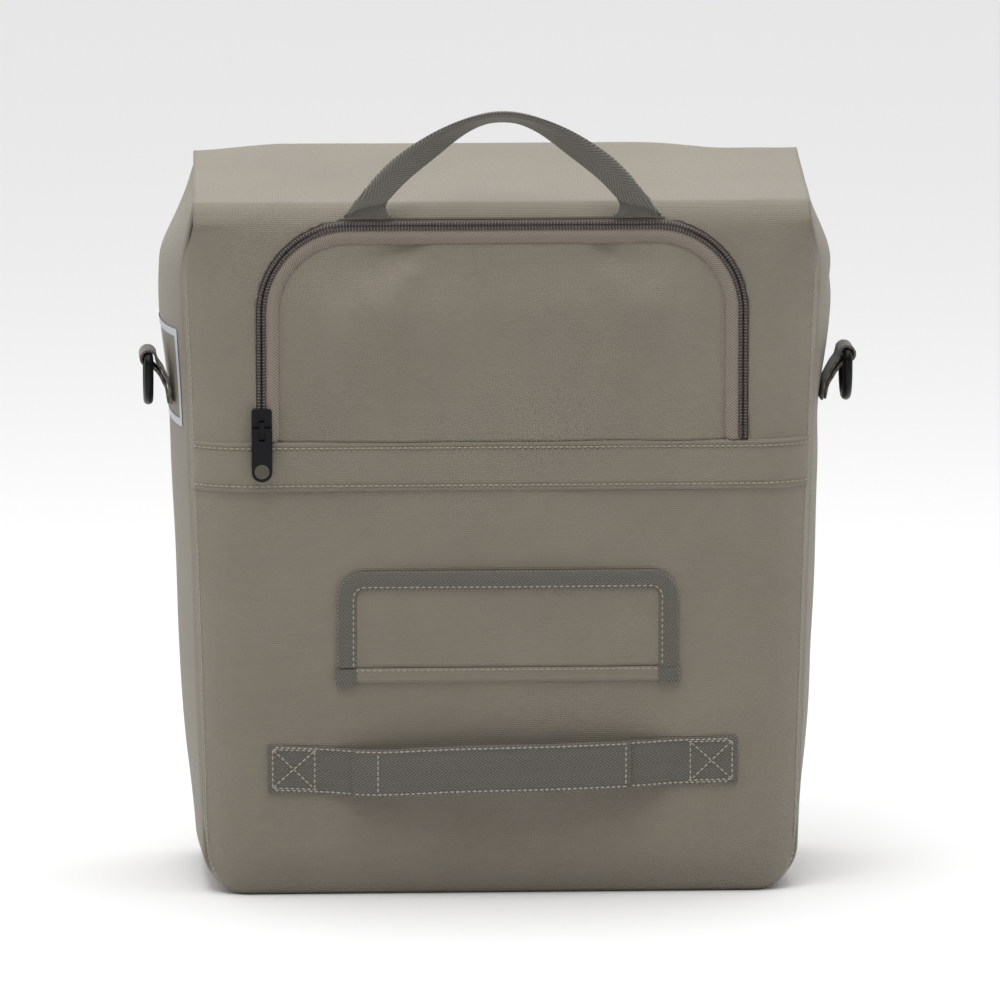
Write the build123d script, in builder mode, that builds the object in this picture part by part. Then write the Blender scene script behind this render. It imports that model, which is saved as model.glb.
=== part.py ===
"""Bicycle pannier bag: one soft bag with its rack hooks behind a zipped cover on the back.

Millimetres. +Z is up, +X is to the right as the rack side is seen, and the rack side faces -Y.
The origin is the centre of the flat base. Each sub-part is one STEP file in parts/.
"""

import os

from build123d import *

# ---- driving dimensions -------------------------------------------------------------------
# The bag's form: width between the side seams at four heights, and the depth.
base_width = 309.0
band_width = 322.0
shoulder_width = 332.0
mouth_width = 320.0
bag_depth = 157.0
back_height = 362.0
front_height = 375.0
shoulder_height = 325.0
side_bulge = 12.5  # how far a gusset stands out past its two seams at mid depth
back_bulge = 16.0  # how far the back and the front stand out past the side seams
flat_width = 260.0  # the flat middle of the back and of the front
base_corner = 23.0

# Cloth and sheet.
wall = 2.0  # coated canvas with its lining
webbing_width = 25.0
webbing = 1.5
clearance = 0.3  # between pieces that move past each other
board = 2.0  # stiffener sheet
board_margin = 8.5  # from the narrowest side seam to the board's edge
lining = 0.6
lining_gap = 4.0  # how far the lining reaches past the board, and stays off the back cloth

# Band across the back, and the zip above it.
band_bottom = 212.0
band_height = 26.0
band_thickness = 1.2
zip_width = 249.0  # between the two straight legs of the zip
zip_top = 350.0
zip_corner = 45.0
coil_width = 5.0
coil_thickness = 2.6
coil_gap = 0.3
tape_visible = 6.5  # tape between the coil and the cover's cloth
tape = 0.7
slider_length = 16.5
slider_width = 10.5
slider_plate = 1.6
slider_travel = 50.0
puller_length = 28.0
puller_width = 10.7
puller_thickness = 1.6
puller_hole = 3.8
puller_pin = 0.9

# Small flap over the lower hook.
anchor_center = 2.7
anchor_width = 176.5
anchor_bottom = 112.0
anchor_height = 58.5
anchor_corner = 14.0
anchor_hem = 8.0
anchor_cloth = 1.4
binding_width = 10.0
binding = 0.9
window_width = 148.0
window_height = 34.0

# Grab strap low on the back, and carry handle at the top.
strap_length = 243.0
strap_height = 69.0
strap_bow = 12.0
strap_double_left = -78.0
strap_double_right = 66.0
handle_span = 140.0  # between the middles of the two ends
handle_bottom = 355.0
handle_top = 415.0
handle_fold_width = 12.5
handle_fold_thickness = 5.5

# Rings and their webbing tabs on the gussets.
ring_wire = 5.0
ring_height = 28.0
ring_y = -27.0
ring_z = 277.0
tab_bottom = 253.0

# Rack hooks on their rail, behind the zipped cover.
board_depth = 30.5  # from the back's outer face to the stiffener board
tube_radius = 8.0
hook_wall = 3.5
hook_width = 30.0
hook_spread = 150.0
rail_center = 331.0
rail_height = 22.0
rail_length = 224.0
rail_web = 3.0
rail_flange = 3.0
screw_radius = 2.0
latch_width = 10.0
latch_gap = 1.0  # from the latch's nose to the arm
latch_pin = 1.5

# Lower hook on its own rail.
lower_center = 141.0
lower_rail_height = 14.0
lower_rail_length = 132.0
lower_hook_width = 26.0
lower_hook_reach = 26.0

# Top flap and its closure.
flap_drop = 200.0
flap_width = 312.0
pad_length = 60.0
pad_height = 25.0
pad_thickness = 1.05
pad_spread = 170.0

# ---- sizes worked out from the driving dimensions -----------------------------------------
back_y = -bag_depth / 2
front_y = bag_depth / 2
seam_y = bag_depth / 2 - back_bulge
panel_edge = seam_y - 1.0  # the back and front turn the corner before they meet the gussets
band_top = band_bottom + band_height
board_y = back_y + board_depth
flange_back = board_y - rail_web
flange_front = flange_back - rail_flange
flap_gap = 2 * pad_thickness + clearance
tall = front_height + 40.0
parts = {}


def keep(name, solid):
    """Name a finished sub-part and write its STEP file."""
    solid.label = name
    parts[name] = solid
    export_step(solid, f"parts/{name}.step")


def block(x0, x1, y0, y1, z0, z1):
    """A box between two corners."""
    center = ((x0 + x1) / 2, (y0 + y1) / 2, (z0 + z1) / 2)
    return Pos(*center) * Box(x1 - x0, y1 - y0, z1 - z0)


def bag_outline(z, width, bulge, offset):
    """The bag cut level at height z: flat back and front, bowed sides, four seam corners."""
    w = width / 2 + offset
    s = seam_y + offset
    d = bag_depth / 2 + offset
    f = flat_width / 2
    with BuildSketch(Plane.XY.offset(z)) as section:
        with BuildLine():
            Line((-f, -d), (f, -d))
            TangentArc((f, -d), (w, -s), tangent=(1, 0))
            ThreePointArc((w, -s), (w + bulge, 0), (w, s))
            TangentArc((f, d), (w, s), tangent=(1, 0))
            Line((f, d), (-f, d))
            TangentArc((-f, d), (-w, s), tangent=(-1, 0))
            ThreePointArc((-w, s), (-w - bulge, 0), (-w, -s))
            TangentArc((-f, -d), (-w, -s), tangent=(-1, 0))
        make_face()
    return section.sketch


def bag_form(offset):
    """The whole bag as one solid, grown or shrunk by offset all round."""
    levels = [
        (-offset, base_width, 3.0),
        (band_bottom / 2, (base_width + band_width) / 2, side_bulge * 0.8),
        (band_bottom + band_height / 2, band_width, side_bulge),
        (shoulder_height, shoulder_width, side_bulge * 0.9),
        (tall, mouth_width - 4.0, 0.5),
    ]
    with BuildPart() as form:
        for z, width, bulge in levels:
            add(bag_outline(z, width, bulge, offset))
        loft()
        ends = form.edges().group_by(Axis.Z)[0].sort_by(Axis.X)
        fillet([ends[0], ends[-1]], radius=base_corner + offset)
    return form.part


def below_mouth(gap):
    """Everything under the sloping plane of the bag's mouth, moved down by gap."""
    far = bag_depth
    rise = (front_height - back_height) / bag_depth
    with BuildPart() as space:
        with BuildSketch(Plane.YZ):
            with BuildLine():
                Polyline(
                    (-far, -far),
                    (far, -far),
                    (far, front_height - gap + rise * (far - front_y)),
                    (-far, back_height - gap - rise * (far - front_y)),
                    close=True,
                )
            make_face()
        extrude(amount=shoulder_width, both=True)
    return space.part


def plate(sketch_face, y_outer, y_inner):
    """A flat piece standing in the XZ plane between two depths, outer face towards -Y."""
    return extrude(Plane.XZ.offset(-y_inner) * sketch_face, amount=y_inner - y_outer)


def d_shape(offset, bottom):
    """The outline that the zip follows, grown by offset: straight legs and a round top."""
    half = zip_width / 2 + offset
    height = zip_top + offset - bottom
    with BuildSketch() as outline:
        with Locations((0, bottom + height / 2)):
            Rectangle(2 * half, height)
        corners = outline.vertices().group_by(Axis.Y)[-1]
        fillet(corners, radius=zip_corner + offset)
    return outline.sketch


def tab_shape(width, bottom, height, radius, center=0.0):
    """A plate outline with a straight lower edge and two round upper corners."""
    with BuildSketch() as outline:
        with Locations((center, bottom + height / 2)):
            Rectangle(width, height)
        fillet(outline.vertices().group_by(Axis.Y)[-1], radius=radius)
    return outline.sketch


# ---- bag body -----------------------------------------------------------------------------
outer_form = bag_form(0.0)
inner_form = bag_form(-wall)


def make_body():
    """Sewn cloth body: back, front, two gussets and base, open at the mouth."""
    shell = (outer_form - inner_form) & below_mouth(0.0)
    back = shell & block(-400, 400, -400, -panel_edge, -10, tall)
    front = shell & block(-400, 400, panel_edge, 400, -10, tall)
    strip = shell & block(-400, 400, -panel_edge, panel_edge, -10, tall)
    edge = base_width / 2 - base_corner
    base = strip & block(-edge, edge, -400, 400, -10, base_corner)

    zip_hole = plate(d_shape(coil_gap / 2 + coil_width / 2, band_top), back_y - 5, back_y + 5)
    hole = tab_shape(window_width, lower_center - window_height / 2, window_height, 6.0)
    back = back - zip_hole - plate(hole, back_y - 5, back_y + 5)
    keep("back_panel", back)
    keep("front_panel", front)
    keep("base_panel", base)
    keep("left_gusset", strip & block(-400, -edge, -400, 400, -10, tall))
    keep("right_gusset", strip & block(edge, 400, -400, 400, -10, tall))


def make_band():
    """Cloth band sewn across the back over the joint between its upper and lower halves."""
    layer = bag_form(band_thickness) - outer_form
    keep("seam_band", layer & block(-400, 400, -400, -panel_edge, band_bottom, band_top))


def make_reflector():
    """Printed reflective outline on the left gusset, a plain four-sided frame."""
    low, high, near, far, line = 243.0, 294.0, -53.0, 42.0, 4.0
    layer = bag_form(0.35) - outer_form
    frame = block(-400, -100, near, far, low, high)
    frame = frame - block(-400, -100, near + line, far - line, low + line, high - line)
    keep("reflective_print", layer & frame)


# ---- stiffeners, rails and screws ---------------------------------------------------------
rail_screws = [(-100.0, rail_center), (-20.0, rail_center), (20.0, rail_center), (100.0, rail_center)]
lower_screws = [(-lower_rail_length / 2 + 8, lower_center), (lower_rail_length / 2 - 8, lower_center)]
plate_y = board_y + board + lining


def along_y(x, z, radius, y0, y1):
    """A cylinder along Y at (x, z) between two depths."""
    return Pos(x, (y0 + y1) / 2, z) * Rot(90, 0, 0) * Cylinder(radius, y1 - y0)


def along_x(y, z, radius, x0, x1):
    """A cylinder along X at (y, z) between two places."""
    return Pos((x0 + x1) / 2, y, z) * Rot(0, 90, 0) * Cylinder(radius, x1 - x0)


def drill(solid, places, radius):
    """Cut a hole along Y through the whole piece at each place."""
    for x, z in places:
        solid = solid - along_y(x, z, radius, back_y, 0.0)
    return solid


def make_stiffeners():
    """Back board with its lining, base board, and the two plates that back the screws."""
    places = rail_screws + lower_screws
    hole = screw_radius + 0.1
    half = min(base_width, mouth_width) / 2 - board_margin
    top = back_height - 8.0
    low = wall + board
    with BuildSketch() as outline:
        with Locations((0, (low + top) / 2)):
            Rectangle(2 * half, top - low)
        fillet(outline.vertices(), radius=base_corner - 1)
    keep("back_board", drill(plate(outline.sketch, board_y, board_y + board), places, hole))

    sheet = block(-400, 400, board_y + board, plate_y, wall, top + lining)
    shelf = block(-400, 400, back_y, board_y + board, top, top + lining)
    edge = half + lining_gap
    room = inner_form & block(-edge, edge, back_y + wall + lining_gap, seam_y, 0, tall)
    keep("board_lining", drill((sheet + shelf) & room, places, hole))

    edge = base_width / 2 - base_corner - 4.0
    keep("base_board", block(-edge, edge, plate_y + 1.0, seam_y - 4.0, wall, wall + board))

    upper = block(-112, 112, plate_y, plate_y + 1.5, rail_center - 9, rail_center + 9)
    lower = block(-66, 66, plate_y, plate_y + 1.5, lower_center - 7, lower_center + 7)
    keep("rail_backing_plate", drill(upper, rail_screws, hole))
    keep("lower_backing_plate", drill(lower, lower_screws, hole))


def t_rail(length, height, center, places):
    """T rail on the board: a low web carries a wider flange that the hooks run on."""
    web = block(-length / 2, length / 2, flange_back, board_y, center - 4, center + 4)
    flange = block(
        -length / 2, length / 2, flange_front, flange_back, center - height / 2, center + height / 2
    )
    rail = drill(web + flange, places, screw_radius + 0.1)
    for x, z in places:
        rail = rail - along_y(x, z, 4.1, flange_front - 1, flange_front + 2.0)
    return rail


def screws(places):
    """Flush screws through the rail, the board and the backing plate, each with its nut."""
    group = []
    for x, z in places:
        head = along_y(x, z, 4.0, flange_front, flange_front + 2.0)
        shank = along_y(x, z, screw_radius, flange_front + 2.0, plate_y + 4.5)
        nut = Plane.XZ.offset(-(plate_y + 4.5)) * RegularPolygon(3.8, 6)
        nut = Pos(x, 0, z) * extrude(nut, amount=3.0)
        group.append(head + shank + nut)
    return Compound(children=group)


def make_rails():
    """Upper rail for the rack hooks and short lower rail for the stay hook."""
    keep("hook_rail", t_rail(rail_length, rail_height, rail_center, rail_screws))
    keep("lower_rail", t_rail(lower_rail_length, lower_rail_height, lower_center, lower_screws))
    keep("rail_screws", screws(rail_screws))
    keep("lower_rail_screws", screws(lower_screws))


# ---- rack hooks ---------------------------------------------------------------------------
carriage_front = flange_front - clearance
carriage_back = board_y - 0.4
carriage_top = rail_center + rail_height / 2 + clearance + 3.2
carriage_bottom = rail_center - rail_height / 2 - clearance - 3.2
hook_back = carriage_back - 2.5
tube_y = hook_back - tube_radius
tube_z = carriage_bottom - tube_radius - 2.5
arm_y = tube_y - tube_radius
pivot_y = carriage_back - 3.9
pivot_z = tube_z - tube_radius - 7.0
slot = latch_width + 5.4


def hook_body(x):
    """One rack hook: a carriage round the rail, and an arm over the rack's tube."""
    x0, x1 = x - hook_width / 2, x + hook_width / 2
    shell = block(x0, x1, carriage_front - 3.0, carriage_back, carriage_bottom, carriage_top)
    rail_room = block(
        x0 - 1, x1 + 1, carriage_front, flange_back + clearance,
        carriage_bottom + 3.2, carriage_top - 3.2,
    )
    web_room = block(
        x0 - 1, x1 + 1, flange_back, board_y + 1, rail_center - 6, rail_center + 6
    )
    carriage = shell - rail_room - web_room
    back = block(x0, x1, hook_back, carriage_back, pivot_z - 4.0, carriage_bottom + 0.1)
    arch = along_x(tube_y, tube_z, tube_radius + hook_wall, x0, x1)
    arch = arch & block(x0, x1, arm_y - hook_wall, hook_back, tube_z, carriage_bottom + 1)
    neck = block(x0, x1, tube_y, hook_back, tube_z, carriage_bottom + 1)
    arm = block(x0, x1, arm_y - hook_wall, arm_y, pivot_z - 1.0, tube_z)
    ears = block(x0, x1, pivot_y - 4.0, carriage_back, pivot_z - 4.0, pivot_z + 4.0)
    body = carriage + back + arch + neck + arm + ears
    body = body - along_x(tube_y, tube_z, tube_radius, x0 - 1, x1 + 1)
    body = body - block(
        x - slot / 2, x + slot / 2, pivot_y - 5, carriage_back + 1, pivot_z - 5, pivot_z + 4.4
    )
    return body - along_x(pivot_y, pivot_z, latch_pin + 0.02, x0 - 1, x1 + 1)


def hook_latch(x):
    """Latch under the tube: a barrel on the pin, a nose to the arm and a thumb lip."""
    x0, x1 = x - latch_width / 2, x + latch_width / 2
    barrel = along_x(pivot_y, pivot_z, 3.4, x0, x1)
    tip = arm_y + latch_gap
    nose = block(x0, x1, tip, pivot_y, pivot_z + 0.5, pivot_z + 4.5)
    lip = block(x0, x1, tip, tip + 3.0, pivot_z - 3.0, pivot_z + 0.6)
    latch = barrel + nose + lip
    return latch - along_x(pivot_y, pivot_z, latch_pin + 0.06, x0 - 1, x1 + 1)


def latch_spring(x):
    """Torsion spring round the latch's pin, beside the latch."""
    wire = 0.35
    start = x + latch_width / 2 + 0.7
    with BuildPart() as spring:
        with BuildLine() as turns:
            Helix(pitch=0.8, height=1.2, radius=2.2)
        with BuildSketch(Plane(origin=turns.line @ 0, z_dir=turns.line % 0)):
            Circle(wire)
        sweep(is_frenet=True)
    return Pos(start, pivot_y, pivot_z) * Rot(0, 90, 0) * spring.part


def make_hooks():
    """A left and a right hook, alike, each with its latch, pin and spring."""
    for side, x in (("left", -hook_spread / 2), ("right", hook_spread / 2)):
        keep(f"{side}_hook", hook_body(x))
        keep(f"{side}_hook_latch", hook_latch(x))
        pin = along_x(pivot_y, pivot_z, latch_pin, x - hook_width / 2, x + hook_width / 2)
        keep(f"{side}_latch_pin", pin)
        keep(f"{side}_latch_spring", latch_spring(x))


def make_lower_hook():
    """Stay hook low on the back: a carriage on the lower rail and a swivelling claw."""
    half = lower_hook_width / 2
    top = lower_center + lower_rail_height / 2 + clearance
    low = lower_center - lower_rail_height / 2 - clearance
    front = carriage_front - 2.5
    shell = block(-half, half, front, carriage_back, low - 2.5, top + 2.5)
    shell = shell - block(-half - 1, half + 1, carriage_front, flange_back + clearance, low, top)
    shell = shell - block(
        -half - 1, half + 1, flange_back, board_y + 1, lower_center - 5, lower_center + 5
    )
    claw_back = front - clearance
    claw_front = claw_back - 3.0
    stud = along_y(0, lower_center, 4.0, claw_front - clearance, front)
    cap = along_y(0, lower_center, 6.0, claw_front - clearance - 1.6, claw_front - clearance)
    keep("lower_hook_slide", shell + stud + cap)

    tip = back_y + wall + 2.0
    disc = along_y(0, lower_center, 9.0, claw_front, claw_back)
    arm = block(0, lower_hook_reach, claw_front, claw_back, lower_center - 6, lower_center + 6)
    fin = block(
        lower_hook_reach - 4, lower_hook_reach, tip, claw_back, lower_center - 6, lower_center + 6
    )
    lip = block(
        lower_hook_reach - 9, lower_hook_reach, tip, tip + 3, lower_center - 6, lower_center + 6
    )
    claw = disc + arm + fin + lip
    keep("lower_hook", claw - along_y(0, lower_center, 4.1, claw_front - 1, claw_back + 1))


# ---- zip ----------------------------------------------------------------------------------
chain_x = -zip_width / 2
coil_outer = back_y - coil_thickness / 2
coil_inner = back_y + coil_thickness / 2
slider_bottom = band_top + 1.0
slider_top = slider_bottom + slider_length
slider_face = coil_outer - clearance - slider_plate
puller_y = slider_face - 2.0
puller_z = slider_bottom + 5.5
cover_edge = coil_width / 2 + tape_visible


def ring_of(outer_offset, inner_offset, bottom):
    """The strip between two outlines of the zip, open at its lower end."""
    return d_shape(outer_offset, bottom) - d_shape(inner_offset, bottom)


def make_zip():
    """Zipped cover over the hooks: cloth, two halves of the chain, slider and puller."""
    low = band_top + 0.6
    start = slider_top + 1.5
    keep("zip_cover", plate(d_shape(-cover_edge, low), back_y, back_y + wall))

    gap = coil_gap / 2
    half = coil_width / 2
    fixed = plate(ring_of(gap + half, gap, band_top), coil_inner, back_y + wall)
    coil = plate(ring_of(gap + half, gap, start), coil_outer, coil_inner)
    keep("zip_outer_half", fixed + coil)

    notch = block(chain_x - 8, chain_x + slider_width / 2 + 0.8, -400, 0, 0, start)
    moving = plate(ring_of(-gap, -cover_edge, low), coil_inner, back_y + wall)
    coil = plate(ring_of(-gap, -gap - half, low), coil_outer, coil_inner)
    keep("zip_cover_half", moving + coil - notch)

    with BuildSketch() as outline:
        with Locations((chain_x, (slider_bottom + slider_top) / 2)):
            Rectangle(slider_width, slider_length)
        fillet(outline.vertices().group_by(Axis.Y)[0], radius=3.5)
        fillet(outline.vertices().group_by(Axis.Y)[-1], radius=1.5)
    top = plate(outline.sketch, slider_face, back_y - clearance)
    room = coil_width / 2 + coil_gap / 2 + clearance
    top = top - block(
        chain_x - room, chain_x + room, slider_face + slider_plate, 0, 0, tall
    )
    crown = block(
        chain_x - 1.2, chain_x + 1.2, puller_y - 2.2, slider_face, puller_z - 2.6, puller_z + 4.6
    )
    crown = crown - along_x(puller_y, puller_z, puller_pin + 0.1, chain_x - 2, chain_x + 2)
    keep("zip_slider", top + crown)

    with BuildSketch() as outline:
        with Locations((chain_x, puller_z + 1.5 - puller_length / 2)):
            Rectangle(puller_width, puller_length)
        fillet(outline.vertices().group_by(Axis.Y)[0], radius=puller_width / 2 - 0.05)
        fillet(outline.vertices().group_by(Axis.Y)[-1], radius=2.0)
        with Locations((chain_x, puller_z + 1.5 - puller_length + puller_width / 2)):
            Circle(puller_hole, mode=Mode.SUBTRACT)
    face = puller_y - puller_thickness / 2
    puller = plate(outline.sketch, face, face + puller_thickness)
    window = block(chain_x - 1.6, chain_x + 1.6, face - 1, face + 3, puller_z - 5.2, tall)
    bar = along_x(puller_y, puller_z, puller_pin, chain_x - 3.5, chain_x + 3.5)
    keep("zip_puller", puller - window + bar)


# ---- small flap, strap, handle ------------------------------------------------------------
def make_anchor_flap():
    """Bound cloth flap that hides the lower hook, hinged at the stitching of its hem."""
    inner = back_y - clearance
    face = inner - anchor_cloth
    outline = tab_shape(anchor_width, anchor_bottom, anchor_height, anchor_corner, anchor_center)
    inset = tab_shape(
        anchor_width - 2 * binding_width,
        anchor_bottom,
        anchor_height - binding_width,
        anchor_corner - 5,
        anchor_center,
    )
    hinge = anchor_bottom + anchor_hem
    above = block(-400, 400, -400, 0, hinge + clearance / 2, tall)
    below = block(-400, 400, -400, 0, 0, hinge - clearance / 2)
    cloth = plate(outline, face, inner)
    edge = plate(outline - inset, face - binding, face)
    keep("anchor_flap", cloth & above)
    keep("anchor_flap_binding", edge & above)
    hem = plate(outline, face, back_y) & below
    keep("anchor_flap_hem", hem + (edge & below))


def make_grab_strap():
    """Webbing strap low on the back, sewn flat at both ends and bowed in the middle."""
    end = strap_length / 2
    sewn = end - webbing_width

    def layer(x0, x1, depth):
        """One thickness of webbing along the bow, depth layers out from the bag."""
        inner = back_y - depth * webbing
        outer = inner - webbing
        with BuildSketch() as bow:
            with BuildLine():
                ThreePointArc((-sewn, inner), (0, inner - strap_bow), (sewn, inner))
                Line((sewn, inner), (sewn, outer))
                ThreePointArc((sewn, outer), (0, outer - strap_bow), (-sewn, outer))
                Line((-sewn, outer), (-sewn, inner))
            make_face()
        strip = extrude(Plane.XY.offset(strap_height - webbing_width / 2) * bow.sketch, webbing_width)
        return strip & block(x0, x1, -400, 0, 0, 200)

    low, high = strap_height - webbing_width / 2, strap_height + webbing_width / 2
    left = block(-end, -sewn, back_y - webbing, back_y, low, high)
    right = block(sewn, end, back_y - webbing, back_y, low, high)
    keep("grab_strap", left + layer(-sewn, sewn, 0) + right)
    keep("grab_strap_cover", layer(strap_double_left, strap_double_right, 1))


def make_carry_handle():
    """Webbing handle: flat at its two ends, folded lengthwise where the hand holds it."""
    half = handle_span / 2
    rise = handle_top - handle_fold_thickness / 2 - handle_bottom
    # Each station: place across, height, tilt of the webbing, width along the arch's side
    # and width along Y, from the sewn end to the middle of the arch.
    stations = [
        (half, 0.0, 0.0, webbing_width, 2 * webbing),
        (half - 4, 0.26 * rise, 22.0, webbing_width * 0.7, 3.5),
        (half * 0.66, 0.68 * rise, 52.0, handle_fold_width * 0.8, 7.0),
        (half * 0.30, 0.93 * rise, 74.0, handle_fold_thickness * 1.1, handle_fold_width * 0.8),
        (0.0, rise, 90.0, handle_fold_thickness, handle_fold_width),
    ]
    with BuildPart() as side:
        for x, height, tilt, across, deep in stations:
            spot = Plane(
                origin=(x, back_y - 0.6 - deep / 2, handle_bottom + height), x_dir=Vector(1, 0, 0).rotate(Axis.Y, -tilt),
                z_dir=Vector(0, 0, 1).rotate(Axis.Y, -tilt),
            )
            with BuildSketch(spot):
                Rectangle(across, deep)
        loft()
    keep("carry_handle", side.part + mirror(side.part, about=Plane.YZ))


# ---- rings and tabs -----------------------------------------------------------------------
def gusset_x(z):
    """How far out the gusset's outer face is at the ring's depth and height z."""
    probe = outer_form & block(0, 400, ring_y - 0.5, ring_y + 0.5, z - 0.5, z + 0.5)
    return probe.bounding_box().max.X


ring_x = gusset_x(ring_z) + ring_wire / 2 + clearance + 2 * webbing + 1.5


def make_ring(side, sign):
    """D ring on a webbing tab: the bar lies in the tab's loop and the bow hangs free."""
    half = (webbing_width + ring_wire) / 2 + 0.2
    drop = ring_height - ring_wire - half
    with BuildPart() as ring:
        with BuildLine(Plane.YZ) as path:
            top = FilletPolyline(
                (ring_y - half, ring_z - drop), (ring_y - half, ring_z), (ring_y + half, ring_z),
                (ring_y + half, ring_z - drop), radius=3.0,
            )
            ThreePointArc(top @ 1, (ring_y, ring_z - drop - half), top @ 0)
        with BuildSketch(Plane(origin=path.line @ 0, z_dir=path.line % 0)):
            Circle(ring_wire / 2)
        sweep()
    keep(f"{side}_ring", Pos(sign * ring_x, 0, 0) * ring.part)

    hole = ring_wire / 2 + clearance
    foot = gusset_x(tab_bottom)
    with BuildPart() as tab:
        with BuildSketch(Plane.XZ.offset(-ring_y - webbing_width / 2)):
            with Locations((sign * ring_x, ring_z)):
                Circle(hole + webbing)
            with BuildLine():
                Polyline(
                    (sign * (ring_x - hole - webbing), ring_z),
                    (sign * (ring_x - hole), ring_z - 2),
                    (sign * (foot + 2 * webbing), tab_bottom + 12),
                    (sign * (foot + 2 * webbing), tab_bottom),
                    (sign * (foot - 8), tab_bottom),
                    (sign * (foot - 8), tab_bottom + 20),
                    (sign * (ring_x - hole - webbing - 2), ring_z + 1),
                    close=True,
                )
            make_face()
            with Locations((sign * ring_x, ring_z)):
                Circle(hole, mode=Mode.SUBTRACT)
        extrude(amount=webbing_width)
    keep(f"{side}_ring_tab", tab.part - outer_form)


# ---- top flap -----------------------------------------------------------------------------
flap_back = back_y + 4.0


def make_top_flap():
    """Top flap: a sloping top sheet from the back's upper edge and a drop over the front."""
    lift = 0.7
    side = flap_width / 2
    low = front_height - flap_drop
    under = below_mouth(-lift)
    whole = bag_form(flap_gap + wall) & below_mouth(-lift - wall)
    sheet = whole - (bag_form(flap_gap) & under)
    sheet = sheet - (under & block(-400, 400, -400, 0, -100, tall))
    keep("top_flap", sheet & block(-side, side, flap_back, 400, low, tall))

    pads_flap = []
    pads_front = []
    for x in (-pad_spread / 2, pad_spread / 2):
        x0, x1 = x - pad_length / 2, x + pad_length / 2
        z0 = low + 12.0
        y0 = front_y
        pads_front.append(block(x0, x1, y0, y0 + pad_thickness, z0, z0 + pad_height))
        y1 = front_y + flap_gap
        pads_flap.append(block(x0, x1, y1 - pad_thickness, y1, z0, z0 + pad_height))
    keep("flap_loop_pads", Compound(children=pads_flap))
    keep("front_hook_pads", Compound(children=pads_front))


os.makedirs("parts", exist_ok=True)
make_body()
make_band()
make_reflector()
make_stiffeners()
make_rails()
make_hooks()
make_lower_hook()
make_zip()
make_anchor_flap()
make_grab_strap()
make_carry_handle()
make_ring("left", -1)
make_ring("right", 1)
make_top_flap()
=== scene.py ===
"""Bicycle pannier bag in coated canvas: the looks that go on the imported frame.

Metres, in the frame's own axes: +Z up, the rack side faces -Y, the origin is the middle of the base.
"""
import math

import bpy
from mathutils import Matrix, Vector, noise


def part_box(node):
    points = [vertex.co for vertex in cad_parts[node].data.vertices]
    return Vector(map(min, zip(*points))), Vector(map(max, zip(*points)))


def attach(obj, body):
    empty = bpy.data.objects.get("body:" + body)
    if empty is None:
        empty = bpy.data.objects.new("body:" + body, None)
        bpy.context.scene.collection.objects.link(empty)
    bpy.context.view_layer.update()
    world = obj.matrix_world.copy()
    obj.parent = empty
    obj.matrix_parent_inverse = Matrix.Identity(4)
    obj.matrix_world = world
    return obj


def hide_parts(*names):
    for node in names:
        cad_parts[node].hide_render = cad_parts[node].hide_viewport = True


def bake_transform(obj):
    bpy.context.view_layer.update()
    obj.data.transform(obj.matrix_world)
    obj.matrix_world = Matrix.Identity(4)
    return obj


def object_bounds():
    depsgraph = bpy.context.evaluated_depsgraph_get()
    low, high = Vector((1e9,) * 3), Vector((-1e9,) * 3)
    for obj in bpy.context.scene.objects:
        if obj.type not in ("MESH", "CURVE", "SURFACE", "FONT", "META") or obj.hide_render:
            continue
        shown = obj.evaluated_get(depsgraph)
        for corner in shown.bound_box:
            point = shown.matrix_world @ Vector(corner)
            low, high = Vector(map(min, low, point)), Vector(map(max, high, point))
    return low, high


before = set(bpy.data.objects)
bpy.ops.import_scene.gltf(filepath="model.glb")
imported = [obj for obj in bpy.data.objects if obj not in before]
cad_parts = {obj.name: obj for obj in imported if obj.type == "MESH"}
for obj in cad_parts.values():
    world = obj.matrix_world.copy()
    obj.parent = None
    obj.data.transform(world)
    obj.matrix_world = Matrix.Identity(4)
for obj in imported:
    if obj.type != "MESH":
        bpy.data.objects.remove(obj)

cad_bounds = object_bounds()
MM = 0.001


# ---- coated canvas ------------------------------------------------------------------------
# The bag's main cloth: woven polyester with a matt polyurethane coat on its face. The coat
# fills the weave, so the threads show only as a faint grid, and it gives a soft broad sheen.
def linear(hex_colour):
    """An sRGB hex colour as linear red, green, blue and alpha."""
    parts = [int(hex_colour[i:i + 2], 16) / 255 for i in (1, 3, 5)]
    return [c / 12.92 if c <= 0.04045 else ((c + 0.055) / 1.055) ** 2.4 for c in parts] + [1.0]


def node(material, kind, inputs=(), **settings):
    """Add a shader node, give it its settings, and fill its inputs with values or sockets."""
    tree = material.node_tree
    made = tree.nodes.new(kind)
    for name, value in settings.items():
        setattr(made, name, value)
    for key, value in dict(inputs).items():
        if isinstance(value, bpy.types.NodeSocket):
            tree.links.new(value, made.inputs[key])
        else:
            made.inputs[key].default_value = value
    return made


def surface(name, roughness, metallic=0.0, ior=1.5, sheen=0.0, specular=0.5):
    """A new material with its Principled shader set up, and that shader."""
    material = bpy.data.materials.new(name)
    material.use_nodes = True
    shader = material.node_tree.nodes["Principled BSDF"]
    shader.inputs["Roughness"].default_value = roughness
    shader.inputs["Metallic"].default_value = metallic
    shader.inputs["IOR"].default_value = ior
    shader.inputs["Sheen Weight"].default_value = sheen
    shader.inputs["Specular IOR Level"].default_value = specular
    return material, shader


def multiply_add(material, value, factor, extra):
    """value times factor plus extra."""
    return node(
        material, "ShaderNodeMath", {0: value, 1: factor, 2: extra}, operation="MULTIPLY_ADD"
    ).outputs[0]


def speckle(material, place, scale, detail=2.0):
    """Even noise over these coordinates, from 0 to 1."""
    return node(
        material, "ShaderNodeTexNoise", {"Vector": place, "Scale": scale, "Detail": detail}
    ).outputs[0]


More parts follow.
